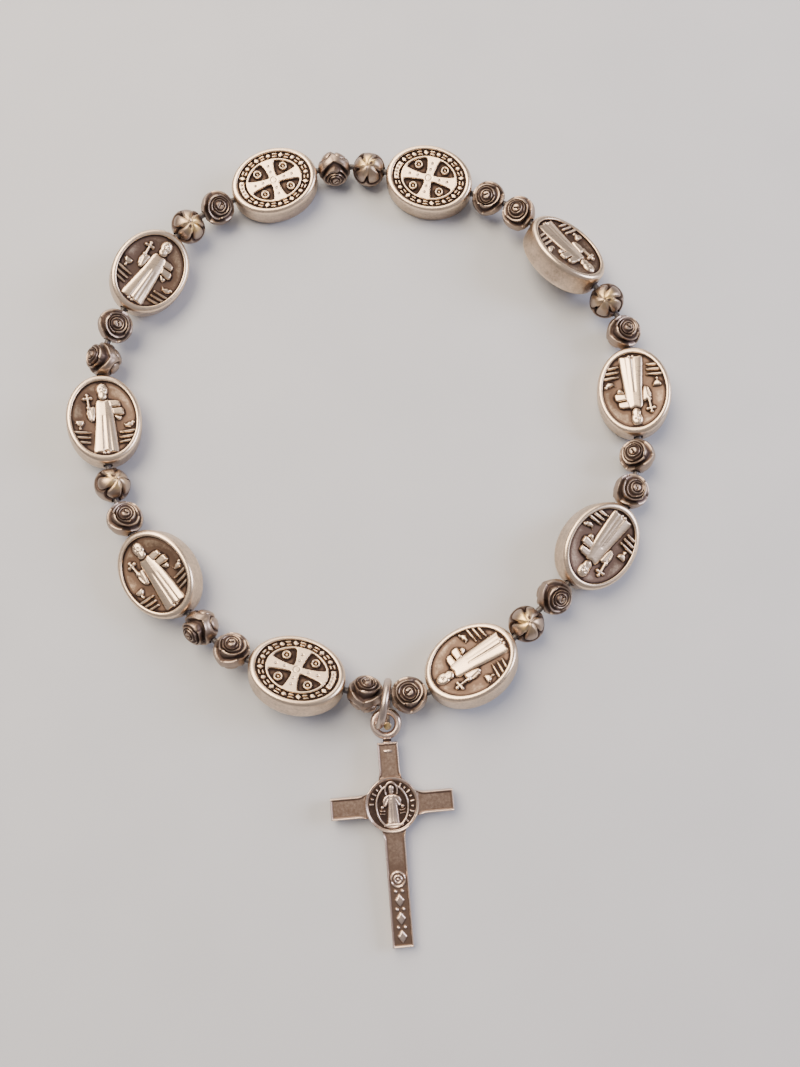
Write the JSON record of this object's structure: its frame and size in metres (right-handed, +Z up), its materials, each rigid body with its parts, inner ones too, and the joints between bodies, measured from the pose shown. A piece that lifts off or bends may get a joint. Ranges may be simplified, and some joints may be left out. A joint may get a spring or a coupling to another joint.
{
  "type": "rosary bracelet",
  "caption": "Elastic rosary bracelet of oval two-sided medals and pairs of small rose beads, with a flat cross on a jump ring.",
  "frame": {"origin": "centre of the bead loop, on the surface that the bracelet lies on", "axes": "+Z up from the surface, -Y from the loop's centre towards the cross, +X to the right of the cross"},
  "size_m": [0.0823, 0.1088, 0.0073],
  "materials": {
    "medal_silver": "antique silver plate, rims rubbed bright, sunk faces dark",
    "rose_silver": "antique silver plate, petals rubbed bright along their lips, grooves dark",
    "cord": "clear grey elastic, satin",
    "ring_silver": "drawn wire, antique silver plate, brass-coloured where it was cut",
    "cross_silver": "antique silver plate, borders rubbed bright, flat fields dark and finely scratched"
  },
  "bodies": {
    "root": {"medal_01": "medal_silver", "medal_02": "medal_silver", "medal_03": "medal_silver", "medal_04": "medal_silver", "medal_05": "medal_silver", "medal_06": "medal_silver", "medal_07": "medal_silver", "medal_08": "medal_silver", "medal_09": "medal_silver", "medal_10": "medal_silver", "rose_01": "rose_silver", "rose_02": "rose_silver", "rose_03": "rose_silver", "rose_04": "rose_silver", "rose_05": "rose_silver", "rose_06": "rose_silver", "rose_07": "rose_silver", "rose_08": "rose_silver", "rose_09": "rose_silver", "rose_10": "rose_silver", "rose_11": "rose_silver", "rose_12": "rose_silver", "rose_13": "rose_silver", "rose_14": "rose_silver", "rose_15": "rose_silver", "rose_16": "rose_silver", "rose_17": "rose_silver", "rose_18": "rose_silver", "rose_19": "rose_silver", "rose_20": "rose_silver", "elastic_cord": "cord", "jump_ring": "ring_silver", "cross_pendant": "cross_silver"}
  },
  "joints": []
}
